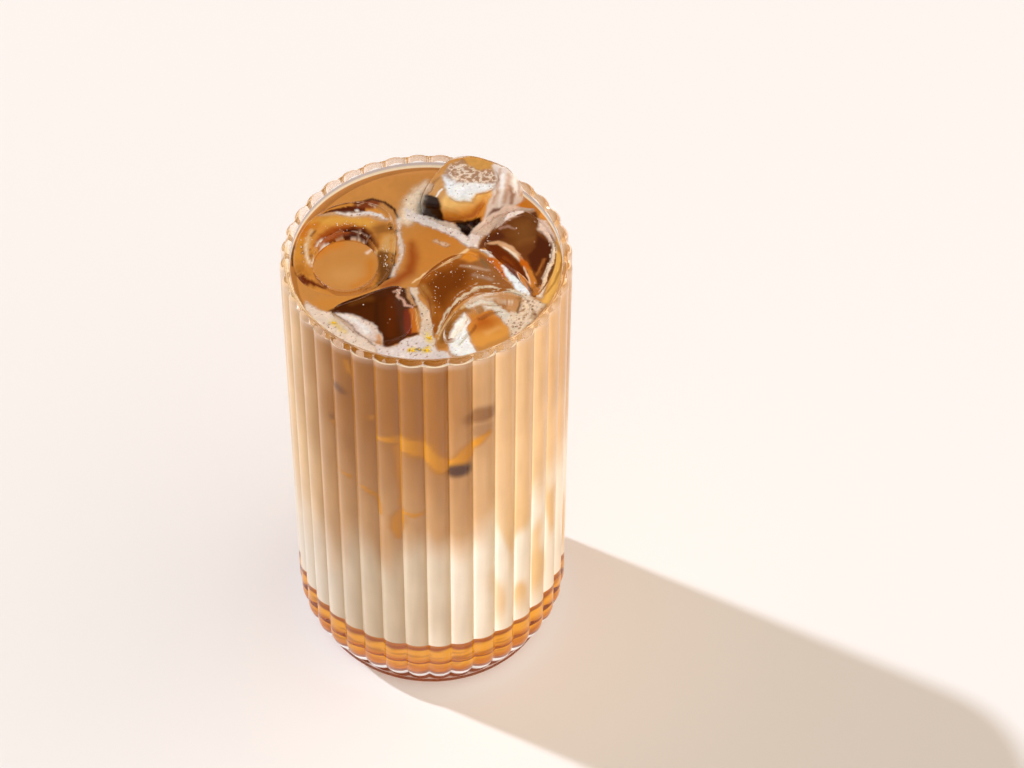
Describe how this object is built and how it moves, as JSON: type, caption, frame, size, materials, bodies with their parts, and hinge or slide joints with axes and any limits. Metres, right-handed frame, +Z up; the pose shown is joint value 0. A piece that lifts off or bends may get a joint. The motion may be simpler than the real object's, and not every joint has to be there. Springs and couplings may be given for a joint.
{
  "type": "iced latte in fluted glass",
  "caption": "Iced coffee drink in a clear ribbed highball glass, with caramel syrup, milk, latte, froth and ice up to the rim.",
  "frame": {"origin": "centre of the glass's foot, on the surface that it stands on", "axes": "+Z up along the glass, the front of the drink towards -Y"},
  "size_m": [0.0758, 0.0758, 0.1461],
  "materials": {
    "clear_glass": "clear, polished, fluted outside",
    "caramel": "translucent amber syrup",
    "milk": "opaque white milk",
    "latte": "opaque tan milk coffee, cloudy towards the milk",
    "froth": "cream froth of small bubbles",
    "ice": "wet clear ice with small bubbles"
  },
  "bodies": {
    "root": {"glass": "clear_glass", "caramel_syrup": "caramel", "milk": "milk", "latte": "latte", "latte_pool": "latte", "froth": "froth", "ice_hollow": "ice", "ice_tall": "ice", "ice_right": "ice", "ice_centre": "ice", "ice_front": "ice", "ice_arch": "ice"}
  },
  "joints": []
}
